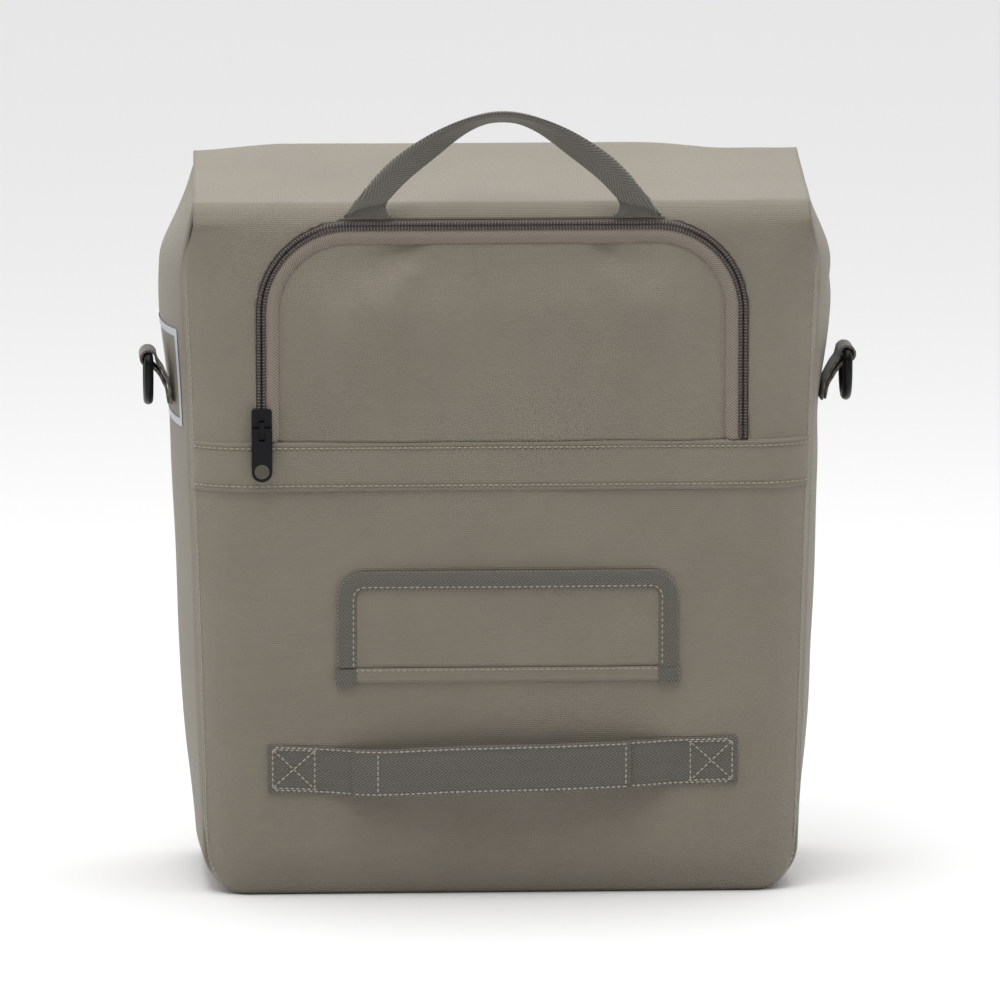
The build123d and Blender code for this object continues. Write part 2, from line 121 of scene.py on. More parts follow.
def stripes(material, value, pitch):
    """A sine of period pitch along one coordinate, from -1 to 1."""
    turned = node(material, "ShaderNodeMath", {0: value, 1: math.tau / pitch}, operation="MULTIPLY")
    return node(material, "ShaderNodeMath", {0: turned.outputs[0]}, operation="SINE").outputs[0]


def tint(material, shader, amount, dark, light):
    """Colour the surface between two shades: dark where amount is 0, light where it is 1."""
    colour = node(
        material, "ShaderNodeMix", {0: amount, 6: linear(dark), 7: linear(light)}, data_type="RGBA"
    )
    material.node_tree.links.new(colour.outputs[2], shader.inputs["Base Color"])


def emboss(material, shader, height, strength, distance):
    """Shade the surface as if height stood out of it."""
    bump = node(
        material, "ShaderNodeBump", {"Height": height, "Strength": strength, "Distance": distance}
    )
    material.node_tree.links.new(bump.outputs[0], shader.inputs["Normal"])


def coated_cloth(name, light, dark, roughness, relief):
    """Coated weave: 0.5 mm threads drawn at 1.05 mm so that they show, and a clouded coat."""
    material, shader = surface(name, roughness, ior=1.48, sheen=0.12)
    cloth = node(material, "ShaderNodeTexCoord").outputs["UV"]
    across = node(material, "ShaderNodeSeparateXYZ", {0: cloth})
    warp = stripes(material, across.outputs[0], 1.05 * MM)
    weft = stripes(material, across.outputs[1], 1.05 * MM)
    weave = node(material, "ShaderNodeMath", {0: warp, 1: weft}, operation="MULTIPLY").outputs[0]
    rows = multiply_add(material, weft, 0.6, weave)
    cloud = speckle(material, cloth, 14.0, detail=5.0)
    cloud = node(material, "ShaderNodeMapRange", {0: cloud, 3: 0.32, 4: 0.68}).outputs[0]
    grain = speckle(material, cloth, 900.0, detail=2.0)
    shade = multiply_add(material, rows, 0.15, cloud)
    shade = multiply_add(material, grain, 0.25, shade)
    ramp = node(material, "ShaderNodeMapRange", {0: shade, 1: 0.38, 2: 0.87}).outputs[0]
    tint(material, shader, ramp, dark, light)
    height = multiply_add(material, grain, 0.9, rows)
    emboss(material, shader, height, relief, 0.2 * MM)
    rough = node(
        material, "ShaderNodeMapRange",
        {0: cloud, 1: 0.2, 2: 0.8, 3: roughness - 0.06, 4: roughness + 0.05},
    ).outputs[0]
    material.node_tree.links.new(rough, shader.inputs["Roughness"])
    return material


canvas = coated_cloth("coated_polyester_canvas", "#948c7d", "#7a7365", 0.55, 0.85)


# ---- bag form -----------------------------------------------------------------------------
# The filled bag is a tapering box: flat in the middle of the back and front, turned in to a
# seam at each side, with bowed gussets. Every sewn panel below takes its place from this form.
back_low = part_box("back_panel")[0]
cover_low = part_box("zip_cover")[0]
band_low, band_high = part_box("seam_band")
flap_low, flap_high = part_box("top_flap")
back_face = back_low[1]
front_face = -back_face
seam_depth = 16 * MM
seam_y = -back_face - seam_depth
flat_half = 130 * MM
corner = 23 * MM
band_top = band_high[2]
band_bottom = band_low[2]
mouth_back = 362 * MM
mouth_front = 369 * MM
shoulder = 325 * MM


def smooth(value, low, high):
    """0 below low, 1 above high, and an even S between them."""
    t = min(max((value - low) / (high - low), 0.0), 1.0)
    return t * t * (3 - 2 * t)


def half_width(z):
    """From the middle to a side seam at height z."""
    t = min(z / shoulder, 1.0)
    top = max(z - shoulder, 0.0) / (50 * MM)
    return (154.5 + 10.5 * (0.72 * t + 0.28 * t * t) - 9.0 * top ** 1.3) * MM


def turn_in(x, half):
    """How far the cloth has turned in from the flat face at x, on its way to the seam."""
    past = abs(x) - flat_half
    if past <= 0:
        return 0.0
    run = half - flat_half
    radius = (run * run + seam_depth * seam_depth) / (2 * seam_depth)
    return radius - math.sqrt(max(radius * radius - past * past, 0.0))


def corner_rise(x, half):
    """Height of the round lower corner's edge at x, zero along the straight bottom."""
    past = abs(x) - (half - corner)
    if past <= 0:
        return 0.0
    return corner - math.sqrt(max(corner * corner - min(past, corner) ** 2, 0.0))


def deselect():
    """Leave nothing selected, so that an operator acts on the new piece alone."""
    bpy.ops.object.select_all(action="DESELECT")


def cut_sheet(name, across, along, size, place, material):
    """A grid of cloth, size in metres across and along, laid by place(u, v) from -1 to 1."""
    deselect()
    bpy.ops.mesh.primitive_grid_add(x_subdivisions=across, y_subdivisions=along, size=2)
    piece = bpy.context.object
    piece.name = piece.data.name = name
    flat = [(v.co.x, v.co.y) for v in piece.data.vertices]
    for vertex, (u, v) in zip(piece.data.vertices, flat):
        vertex.co = place(u, v)
    uv = piece.data.uv_layers.active.data
    for loop in piece.data.loops:
        u, v = flat[loop.vertex_index]
        uv[loop.index].uv = (u * size[0] / 2, v * size[1] / 2)
    piece.data.materials.append(material)
    bpy.ops.object.shade_smooth()
    return piece


def pick(piece):
    """Select this piece alone and make it the active one."""
    deselect()
    bpy.context.view_layer.objects.active = piece
    piece.select_set(True)


def apply_modifiers(piece):
    """Apply every modifier of the piece."""
    pick(piece)
    for modifier in list(piece.modifiers):
        bpy.ops.object.modifier_apply(modifier=modifier.name)


def thicken(piece, thickness, offset=-1):
    """Give a sheet its thickness: inwards from its face, or evenly about it at offset 0."""
    solid = piece.modifiers.new("thickness", "SOLIDIFY")
    solid.thickness = thickness
    solid.offset = offset
    apply_modifiers(piece)


def wander(x, z, seed, scale):
    """A slow wave over the cloth, from about -1 to 1."""
    return noise.noise(Vector((x / scale, z / scale, seed)))


# ---- lower back panel ---------------------------------------------------------------------
# The back below the band: one cut of canvas, held out by the board behind it. It is turned
# in at both sides and along the bottom, where it is sewn to the gussets and the base.
cloth_thickness = 1.4 * MM
seam_roll = 1.3 * MM
window_low, window_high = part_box("anchor_flap")


def roll(distance):
    """How far cloth dips into the seam at this distance from it."""
    near = max(1 - distance / (3.5 * MM), 0.0)
    return seam_roll * near * near


def lower_back(u, v):
    """Place of the lower back panel's cloth."""
    top = band_top - 6 * MM
    z = (v + 1) / 2 * top
    half = half_width(z)
    x = u * half
    edge = corner_rise(x, half)
    z = edge + (top - edge) * (v + 1) / 2
    half = half_width(z)
    x = u * half
    low = max(1 - (z - edge) / (26 * MM), 0.0)
    puff = 3.0 * MM * math.cos(u * math.pi / 2) * math.sin(math.pi * min(max(z / top, 0), 1)) ** 0.7
    strap = math.exp(-((z - 69 * MM) / (20 * MM)) ** 2)
    puff *= 1 - 0.8 * strap
    wave = 0.6 * MM * wander(x, z, 1.0, 70 * MM) * (1 - low)
    y = back_face + turn_in(x, half) + 7 * MM * low * low - puff * (abs(x) < flat_half) * 0.3
    y += wave * smooth(half - abs(x), 0, 30 * MM) * 0.8
    return Vector((x, y + roll(half - abs(x)) + roll(z - edge), z))


lower_panel = cut_sheet("lower_back_cloth", 130, 96, (0.32, 0.24), lower_back, canvas)
thicken(lower_panel, cloth_thickness)
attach(lower_panel, "bag")
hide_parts("back_panel")


# ---- gussets and base ---------------------------------------------------------------------
# Both sides and the bottom are one long strip of canvas that runs down the left side, round
# two soft corners under the bag and up the right side, and bows out between its seams.
def strip_path(t):
    """Seam point and outward direction at t from 0, the left mouth, to 1, the right one."""
    side = -1 if t < 0.5 else 1
    t = 1 - abs(2 * t - 1)
    straight = 0.66
    bend = 0.76
    if t < straight:
        z = mouth_back + (corner - mouth_back) * t / straight
        return Vector((side * half_width(z), 0, z)), Vector((side, 0, 0))
    middle = half_width(corner) - corner
    if t < bend:
        angle = (t - straight) / (bend - straight) * math.pi / 2
        out = Vector((side * math.cos(angle), 0, -math.sin(angle)))
        return Vector((side * middle, 0, corner)) + out * corner, out
    x = middle * (1 - (t - bend) / (1 - bend))
    return Vector((side * x, 0, 0)), Vector((0, 0, -1))


def gusset_bulge(z, v, sign):
    """How far the gusset stands out past its seams at height z, v across it from -1 to 1."""
    high = smooth(z, 328 * MM, 366 * MM)
    hip = math.exp(-((z - 304 * MM) / (34 * MM)) ** 2)
    waist = math.exp(-((z - 250 * MM) / (22 * MM)) ** 2) * (sign > 0)
    out = (1.2 + 6.6 * smooth(z, 10 * MM, 112 * MM) + 3.4 * hip - 2.6 * waist) * (1 - high)
    pinch = 2.5 * high * math.exp(-((v - 0.15) / 0.35) ** 2)
    fold = 1.6 * (sign > 0) * math.exp(-((z - 326 * MM - 30 * MM * v) / (9 * MM)) ** 2)
    wave = 1.2 * wander(v * seam_y, z, 5.0 + sign, 60 * MM)
    return ((out + wave - fold) * (1 - abs(v) ** 2.4) - pinch) * MM


def lean(z):
    """How far the front of the mouth leans to the right under the flap."""
    return 4 * MM * smooth(z, shoulder, mouth_front)


def gusset_strip(u, v):
    """Place of the strip's cloth: u runs along it, v from the back seam to the front one."""
    seam, out = strip_path((u + 1) / 2)
    level = seam.z
    side = abs(out.x)
    bulge = gusset_bulge(level, v, math.copysign(1, seam.x)) * side
    seam = seam + out * (bulge - roll((1 - abs(v)) * seam_y))
    seam.z += smooth(level, shoulder, mouth_back) * (mouth_front - mouth_back) * (v + 1) / 2
    seam.x += lean(level) * (v + 1) / 2
    return Vector((seam.x, v * seam_y, max(seam.z, 0.0)))


strip = cut_sheet("gusset_and_base_cloth", 300, 50, (1.02, 0.125), gusset_strip, canvas)
strip.data.flip_normals()
thicken(strip, cloth_thickness)
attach(strip, "bag")
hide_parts("left_gusset", "right_gusset", "base_panel")


# ---- front panel --------------------------------------------------------------------------
# The outer face of the bag, plain canvas, mostly under the flap's drop.
def front_panel(u, v):
    """Place of the front panel's cloth."""
    z = (v + 1) / 2 * mouth_front
    half = half_width(z)
    x = -u * half
    edge = corner_rise(x, half)
    z = edge + (mouth_front - edge) * (v + 1) / 2
    half = half_width(z)
    x = -u * half
    low = max(1 - (z - edge) / (26 * MM), 0.0)
    y = front_face - turn_in(x, half) - 7 * MM * low * low
    y -= 0.7 * MM * (1 + wander(x, z, 3.0, 60 * MM))
    return Vector((x + lean(z), y - roll(half - abs(x)) - roll(z - edge), z))


front_cloth = cut_sheet("front_cloth", 120, 130, (0.32, 0.375), front_panel, canvas)
thicken(front_cloth, cloth_thickness)
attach(front_cloth, "bag")
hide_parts("front_panel")


# ---- upper back and flap ------------------------------------------------------------------
# One long cut of canvas: up the back from the band, round the zip's opening, over the top of
# the bag and down its front as the flap. It folds where the back ends and the flap begins.
zip_half = 124.5 * MM
zip_top = 350 * MM
zip_round = 45 * MM
flap_outer = flap_high[1]
flap_side = 159.5 * MM
skew = 4.5 * MM
drop_bottom = flap_low[2]
profile = [
    (back_face, band_top - 6 * MM), (back_face, 346 * MM), (back_face + 0.8 * MM, 350.4 * MM),
    (back_face + 2.6 * MM, 354.6 * MM), (back_face + 5.6 * MM, 358.4 * MM),
    (back_face + 10 * MM, 361.6 * MM), (flap_outer - 9 * MM, 374.8 * MM),
    (flap_outer - 4 * MM, 374.4 * MM), (flap_outer - 1.2 * MM, 372.0 * MM),
    (flap_outer, 367.0 * MM), (flap_outer, drop_bottom),
]
profile_runs = [math.dist(a, b) for a, b in zip(profile, profile[1:])]
profile_length = sum(profile_runs)


def along_profile(run):
    """Depth and height at this distance along the sheet, from the band over to the hem."""
    for (a, b), length in zip(zip(profile, profile[1:]), profile_runs):
        if run <= length:
            return [p + (q - p) * run / length for p, q in zip(a, b)]
        run -= length
    return list(profile[-1])


def flap_sheet(u, v):
    """Place of the upper back's and the flap's cloth."""
    run = (v + 1) / 2 * profile_length
    y, z = along_profile(run)
    on_back = y < back_face + 0.5 * MM
    on_front = y > flap_outer - 1 * MM
    if on_back:
        half = half_width(z) + (flap_side - half_width(z)) * smooth(z, 330 * MM, 356 * MM)
    else:
        half = flap_side
    t = min((y - back_face) / (flap_outer - back_face), 1.0)
    x = u * half + skew * t
    if on_back:
        free = smooth(z, 318 * MM, 356 * MM)
        y += turn_in(x, half_width(z)) * (1 - free)
        y += roll(half - abs(x)) * (1 - free)
        puff = math.exp(-((abs(x) - 143 * MM) / (16 * MM)) ** 2)
        y -= 0.8 * MM * puff * wander(x, z, 8.0, 45 * MM)
    elif on_front:
        down = smooth(mouth_front - z, 0, 70 * MM)
        y -= turn_in(x, half) * 0.9 * down
        y -= 1.2 * MM * wander(x, z, 9.0, 70 * MM)
        round_corner = (max(abs(x) - (half - 20 * MM), 0) / (20 * MM)) ** 2
        near_hem = smooth(drop_bottom + 20 * MM - z, 0, 20 * MM)
        z += 14 * MM * round_corner * smooth(down, 0.9, 1.0) * near_hem
    else:
        t = (y - back_face) / (flap_outer - back_face)
        crown = 3.5 * MM * (1 - smooth(abs(x), 105 * MM, half)) - 2.0 * MM
        dip = 2.6 * MM * math.exp(-((x - 118 * MM) / (22 * MM)) ** 2)
        sag = 2.0 * MM * math.sin(math.pi * t) * math.cos(u * math.pi / 2)
        z += (crown - dip) * smooth(t, 0.1, 0.8) - sag
        z += 0.8 * MM * wander(x, y, 4.0, 50 * MM) * math.sin(math.pi * t)
    return Vector((x, y, z))


def rounded_block(name, half, low, high, radius, near, far):
    """A block with two round upper corners, standing across the back between two depths."""
    deselect()
    middle = ((near + far) / 2, (low + high) / 2)
    bpy.ops.mesh.primitive_cube_add(size=1, location=(0, middle[0], middle[1]))
    piece = bpy.context.object
    piece.name = name
    piece.scale = (2 * half, far - near, high - low)
    bpy.ops.object.transform_apply(location=True, rotation=True, scale=True)
    bpy.ops.object.mode_set(mode="EDIT")
    bpy.ops.mesh.select_mode(type="EDGE")
    bpy.ops.mesh.select_all(action="DESELECT")
    bpy.ops.object.mode_set(mode="OBJECT")
    for edge in piece.data.edges:
        a, b = (piece.data.vertices[i].co for i in edge.vertices)
        edge.select = abs(a.y - b.y) > 1e-6 and min(a.z, b.z) > middle[1]
    bpy.ops.object.mode_set(mode="EDIT")
    bpy.ops.mesh.bevel(offset=radius, segments=24, affect="EDGES")
    bpy.ops.object.mode_set(mode="OBJECT")
    return piece


def trim(piece, cutter, operation):
    """Cut the piece with a block, which is then thrown away."""
    cut = piece.modifiers.new("cut", "BOOLEAN")
    cut.object = cutter
    cut.operation = operation
    cut.solver = "EXACT"
    apply_modifiers(piece)
    bpy.data.objects.remove(cutter)


flap_cloth = cut_sheet("upper_back_and_flap_cloth", 130, 200, (0.322, profile_length),
                       flap_sheet, canvas)
thicken(flap_cloth, cloth_thickness)
zip_hole = rounded_block(
    "zip_hole", zip_half + 2.65 * MM, band_top - 30 * MM, zip_top + 2.65 * MM, zip_round + 2.65 * MM,
    back_face - 20 * MM, back_face + 20 * MM,
)
trim(flap_cloth, zip_hole, "DIFFERENCE")
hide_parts("top_flap")
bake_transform(flap_cloth)


# ---- zipped cover -------------------------------------------------------------------------
# A panel of the same canvas that the zip runs round. The hooks behind it push it out a
# little, and the cloth is pinched into two soft folds below the handle's ends.
cover_edge = 9.0 * MM
cover_low_z = cover_low[2] - 0.8 * MM


def crease(x, z, start, end, width):
    """A fold in the cloth from start to end: 1 on its line, fading out beside and along it."""
    spot, a, b = Vector((x, z)), Vector(start), Vector(end)
    t = min(max((spot - a).dot(b - a) / (b - a).length_squared, 0.0), 1.0)
    away = (spot - a.lerp(b, t)).length / (width * (0.6 + 0.9 * t))
    return math.exp(-away * away) * (1 - 0.75 * t)


def cover_sheet(u, v):
    """Place of the zipped cover's cloth, before it is cut to the zip's outline."""
    half = zip_half - cover_edge
    x = u * (half + 2 * MM)
    top = zip_top - cover_edge + 2 * MM
    z = cover_low_z + (v + 1) / 2 * (top - cover_low_z)
    height = (z - cover_low_z) / (top - cover_low_z)
    edge = min(half - abs(x), top - 2 * MM - z)
    past = math.hypot(max(abs(x) - (half - 36 * MM), 0), max(z - (top - 38 * MM), 0))
    edge = min(edge, 36 * MM - past) if past > 0 else edge
    puff = smooth(edge, -2 * MM, 36 * MM) * (0.6 + 8.4 * smooth(height, -0.05, 0.7)) * MM
    left = crease(x, z, (-40 * MM, 345 * MM), (-74 * MM, 326 * MM), 7 * MM)
    right = crease(x, z, (47 * MM, 345 * MM), (66 * MM, 325 * MM), 7 * MM)
    ridge = crease(x, z, (-50 * MM, 326 * MM), (-76 * MM, 298 * MM), 15 * MM)
    ridge += 0.8 * crease(x, z, (58 * MM, 324 * MM), (82 * MM, 292 * MM), 14 * MM)
    long_fold = crease(x, z, (-86 * MM, 318 * MM), (-40 * MM, 262 * MM), 10 * MM)
    long_fold += crease(x, z, (92 * MM, 314 * MM), (70 * MM, 262 * MM), 9 * MM)
    inside = smooth(edge, 0, 14 * MM)
    folds = (5.2 * left + 4.4 * right + 1.3 * long_fold) * MM
    y = back_face - puff + folds * smooth(edge, -3 * MM, 6 * MM)
    y -= 5.5 * MM * ridge * inside
    y -= 0.7 * MM * wander(x, z, 2.0, 38 * MM) * inside
    y += 1.1 * MM * math.exp(-(edge / (1.6 * MM)) ** 2)
    return Vector((x, y, z))


cover_cloth = cut_sheet("zip_cover_cloth", 160, 80, (0.235, 0.105), cover_sheet, canvas)
thicken(cover_cloth, cloth_thickness)
outline = rounded_block(
    "cover_outline", zip_half - cover_edge, cover_low_z - 1 * MM, zip_top - cover_edge,
    zip_round - cover_edge, back_face - 30 * MM, back_face + 20 * MM,
)
trim(cover_cloth, outline, "INTERSECT")
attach(cover_cloth, "cover")
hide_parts("zip_cover")


# ---- stitching ----------------------------------------------------------------------------
# Lockstitch in thick bonded thread of the cloth's own colour. Each stitch is a short soft bar
# that sinks at both ends. One is shaped, then copied along every seam.
def thread(name, light, dark):
    """Bonded polyester thread: smooth, slightly glossy, with a fine random mottle of tone."""
    material, shader = surface(name, 0.45, ior=1.5, sheen=0.1)
    place = node(material, "ShaderNodeTexCoord").outputs["Object"]
    twist = speckle(material, place, 1400.0)
    tint(material, shader, twist, dark, light)
    return material


seam_thread = thread("bonded_polyester_thread", "#b3aa98", "#867e6e")
strap_thread = thread("light_bonded_thread", "#b4aea1", "#8a8478")


def bead(name, length, width, height, rings):
    """A small soft bar, flattened underneath: the start of a stitch or of a zip tooth."""
    deselect()
    bpy.ops.mesh.primitive_uv_sphere_add(segments=8, ring_count=rings, radius=0.5)
    piece = bpy.context.object
    piece.name = name
    bpy.ops.object.mode_set(mode="EDIT")
    bpy.ops.mesh.select_all(action="SELECT")
    bpy.ops.transform.resize(value=(length, width, height))
    bpy.ops.object.mode_set(mode="OBJECT")
    for vertex in piece.data.vertices:
        vertex.co.z = max(vertex.co.z, -0.3 * height)
        vertex.co.x *= 1 - 0.15 * abs(vertex.co.y) / width
    bpy.ops.object.shade_smooth()
    return piece


def lay_copies(name, pattern, frames, material, body):
    """Copy the pattern to each frame (place, direction, outward), join them, let them ride."""
    deselect()
    copies = []
    for place, along, out in frames:
        side = out.cross(along).normalized()
        spot = Matrix((along, side, out)).transposed().to_4x4()
        spot.translation = place
        copy = bpy.data.objects.new(name, pattern.data.copy())
        bpy.context.collection.objects.link(copy)
        copy.data.transform(spot)
        copy.select_set(True)
        copies.append(copy)
    bpy.context.view_layer.objects.active = copies[0]
    bpy.ops.object.join()
    piece = copies[0]
    piece.name = piece.data.name = name
    piece.data.materials.clear()
    piece.data.materials.append(material)
    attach(piece, body)
    return piece


stitch_pitch = 3.1 * MM
stitch = bead("stitch_pattern", 2.4 * MM, 0.95 * MM, 1.0 * MM, 6)


def frames_along(points, pitch, out):
    """Even frames along a line of points, each with the outward direction there."""
    frames = []
    left = pitch / 2
    for a, b in zip(points, points[1:]):
        run = b - a
        length = run.length
        while left <= length:
            place = a + run * (left / length)
            along = run.normalized()
            face = out(place) if callable(out) else out
            face = (face - along * face.dot(along)).normalized()
            frames.append((place, along, face))
            left += pitch
        left -= length
    return frames


outward = Vector((0, -1, 0))


# ---- band ---------------------------------------------------------------------------------
# A folded strip of canvas sewn across the back with a row of stitches near each edge. It
# covers the joint of the two cuts of the back and the lower ends of the zip.
band_proud = 1.5 * MM
band_half = (band_top - band_bottom) / 2
stitch_inset = 3.2 * MM


def band_face(x, z):
    """Depth of the band's face at x and height z."""
    return back_face + turn_in(x, half_width(z)) - band_proud


def band_sheet(u, v):
    """Place of the band's cloth."""
    z = (band_bottom + band_top) / 2 + v * band_half
    x = u * (half_width(z) - 0.3 * MM)
    edge = (1 - abs(v)) * band_half
    groove = 0.45 * MM * math.exp(-((edge - stitch_inset) / (1.1 * MM)) ** 2)
    sink = band_proud * max(1 - edge / (1.2 * MM), 0) ** 2
    y = band_face(x, z) + sink + groove - 0.3 * MM * wander(x, z, 6.0, 30 * MM)
    return Vector((x, y + roll(half_width(z) - abs(x)), z))


band = cut_sheet("band_cloth", 160, 30, (0.33, 0.026), band_sheet, canvas)
thicken(band, 1.0 * MM)
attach(band, "bag")
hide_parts("seam_band")
for row, z in (("upper", band_top - stitch_inset), ("lower", band_bottom + stitch_inset)):
    line = []
    for step in range(81):
        x = (step / 40 - 1) * (half_width(z) - 2 * MM)
        line.append(Vector((x, band_face(x, z) - 0.1 * MM, z)))
    lay_copies(f"band_stitches_{row}", stitch, frames_along(line, stitch_pitch, outward),
               seam_thread, "bag")


# ---- side seams ---------------------------------------------------------------------------
# The back is sewn to each gusset with one row of stitches just inside the seam. The row runs
# round the lower corner and up the side, and the band hides a short length of it.
seam_inset = 2.4 * MM
for name, side in (("left", -1), ("right", 1)):
    line = []
    for step in range(61):
        z = corner * 0.4 + (338 * MM - corner * 0.4) * step / 60
        if band_bottom - 2 * MM < z < band_top + 2 * MM:
            continue
        half = half_width(z)
        low = max(1 - z / (26 * MM), 0.0)
        below = max(corner - z, 0.0)
        x = half - seam_inset - (corner - math.sqrt(corner * corner - below * below))
        y = back_face + turn_in(x, half) + 7 * MM * low * low + roll(seam_inset) - 0.15 * MM
        line.append(Vector((side * x, y, z)))
    lay_copies(f"side_seam_stitches_{name}", stitch, frames_along(line, stitch_pitch, outward),
               seam_thread, "bag")


# ---- zip ----------------------------------------------------------------------------------
# A nylon coil zip on twill tape. Each half is a coil sewn to its tape with a paler thread,
# and the two mesh along a line that runs up, over and down round the cover.
def coil_plastic(name, light, dark):
    """Nylon monofilament: smooth, satin, a little clouded."""
    material, shader = surface(name, 0.38, ior=1.53)
    place = node(material, "ShaderNodeTexCoord").outputs["Object"]
    cloud = speckle(material, place, 300.0)
    tint(material, shader, cloud, dark, light)
    return material


def twill_tape(name, light, dark, pitch):
    """Polyester twill: slanting ribs pitch apart, soft and matt."""
    material, shader = surface(name, 0.75, ior=1.5, sheen=0.25)
    cloth = node(material, "ShaderNodeTexCoord").outputs["UV"]
    axes = node(material, "ShaderNodeSeparateXYZ", {0: cloth})
    slant = multiply_add(material, axes.outputs[1], 0.8, axes.outputs[0])
    ribs = stripes(material, slant, pitch)
    shade = node(material, "ShaderNodeMapRange", {0: ribs, 1: -1.0, 2: 1.0}).outputs[0]
    tint(material, shader, shade, dark, light)
    emboss(material, shader, ribs, 0.5, 0.15 * MM)
    return material


coil_nylon = coil_plastic("dark_nylon_coil", "#5d5458", "#3b3439")
coil_thread = thread("coil_sewing_thread", "#a89d92", "#7b7068")
zip_tape = twill_tape("polyester_zip_tape", "#978c7f", "#70675c", 1.5 * MM)


def arch_line(half, low, top, radius, run, grow):
    """Point and outward side at this distance along an arch: up a leg, round, over, down."""
    leg = top - radius - low
    turn = radius * math.pi / 2
    flat = 2 * (half - radius)
    total = 2 * leg + 2 * turn + flat
    mirror = 1 if run <= total / 2 else -1
    run = min(run, total - run)
    if run < leg:
        x, z, nx, nz = -half, low + run, -1.0, 0.0
    elif run < leg + turn:
        angle = (run - leg) / radius
        nx, nz = -math.cos(angle), math.sin(angle)
        x, z = -half + radius + radius * nx, top - radius + radius * nz
    else:
        x, z, nx, nz = -half + radius + (run - leg - turn), top, 0.0, 1.0
    return mirror * (x + nx * grow), z + nz * grow, total


def zip_line(run, grow):
    """The zip's line at this distance from its left end, moved sideways by grow."""
    x, z, total = arch_line(zip_half, band_top, zip_top, zip_round, run, grow)
    return x, z


zip_length = arch_line(zip_half, band_top, zip_top, zip_round, 0.0, 0.0)[2]
slider_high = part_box("zip_slider")[1]
tooth = bead("tooth_pattern", 0.95 * MM, 2.7 * MM, 2.4 * MM, 6)
tooth_pitch = 1.6 * MM
coil_top = back_face - 0.4 * MM


def coil_frames(side, shift, first):
    """Frames for one half of the coil, side +1 on the bag and -1 on the cover."""
    frames = []
    run = first + shift
    while run < zip_length - 0.5 * MM:
        x0, z0 = zip_line(run - 0.4 * MM, side * 1.25 * MM)
        x1, z1 = zip_line(run + 0.4 * MM, side * 1.25 * MM)
        along = Vector((x1 - x0, 0, z1 - z0)).normalized()
        slant = Matrix.Rotation(side * 0.22, 3, "Y") @ along
        place = Vector(((x0 + x1) / 2, coil_top, (z0 + z1) / 2))
        frames.append((place, slant, outward))
        run += tooth_pitch
    return frames


def tape_sheet(inner, outer, depth, crown):
    """A strip of tape beside the coil, between two distances from the zip's line."""
    def place(u, v):
        run = (u + 1) / 2 * zip_length
        across = (v + 1) / 2
        x, z = zip_line(run, inner + (outer - inner) * across)
        return Vector((x, depth - crown * math.sin(math.pi * across), z))
    return place


first = slider_high[2] - band_top
for half_name, side, body, inner, outer in (
    ("bag", 1, "bag", 0.1 * MM, 2.6 * MM), ("cover", -1, "cover", -9.6 * MM, -0.1 * MM),
):
    coil = lay_copies(f"zip_coil_{half_name}", tooth, coil_frames(side, 0.0, first),
                      coil_nylon, body)
    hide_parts("zip_outer_half" if side > 0 else "zip_cover_half")
    sewn = bead("thread_pattern", 0.5 * MM, 2.2 * MM, 2.75 * MM, 5)
    lay_copies(f"zip_coil_thread_{half_name}", sewn, coil_frames(side, tooth_pitch / 2, first),
               coil_thread, body)
    bpy.data.objects.remove(sewn)
    tape = cut_sheet(f"zip_tape_{half_name}", 260, 10, (zip_length, 0.009),
                     tape_sheet(outer, inner, back_face + 1.0 * MM, 2.2 * MM if side < 0 else 0.0),
                     zip_tape)
    if side < 0:
        pick(tape)
        bpy.ops.object.mode_set(mode="EDIT")
        bpy.ops.mesh.select_all(action="SELECT")
        bpy.ops.mesh.bisect(plane_co=(-zip_half + 6.0 * MM, 0, 0), plane_no=(1, 0, 0))
        bpy.ops.object.mode_set(mode="OBJECT")
    tape.data.flip_normals()
    thicken(tape, 0.5 * MM)
    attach(tape, body)
bpy.data.objects.remove(tooth)


# ---- slider and puller --------------------------------------------------------------------
# Zinc die castings under a thick black lacquer, glossy with rounded edges.
def lacquered_zinc(name):
    """Black lacquer on cast zinc: deep black with a clear gloss and a faint orange peel."""
    material, shader = surface(name, 0.28, specular=0.22)
    shader.inputs["Base Color"].default_value = linear("#0b0c0f")
    place = node(material, "ShaderNodeTexCoord").outputs["Object"]
    peel = speckle(material, place, 700.0)
    emboss(material, shader, peel, 0.12, 0.1 * MM)
    return material


black_zinc = lacquered_zinc("black_lacquered_zinc")


def dress(material, *names):
    """Give CAD nodes this material in every slot they have."""
    for name in names:
        piece = bpy.data.objects[name]
        if not piece.material_slots:
            piece.data.materials.append(material)
        for slot in piece.material_slots:
            slot.material = material


dress(black_zinc, "zip_slider", "zip_puller")


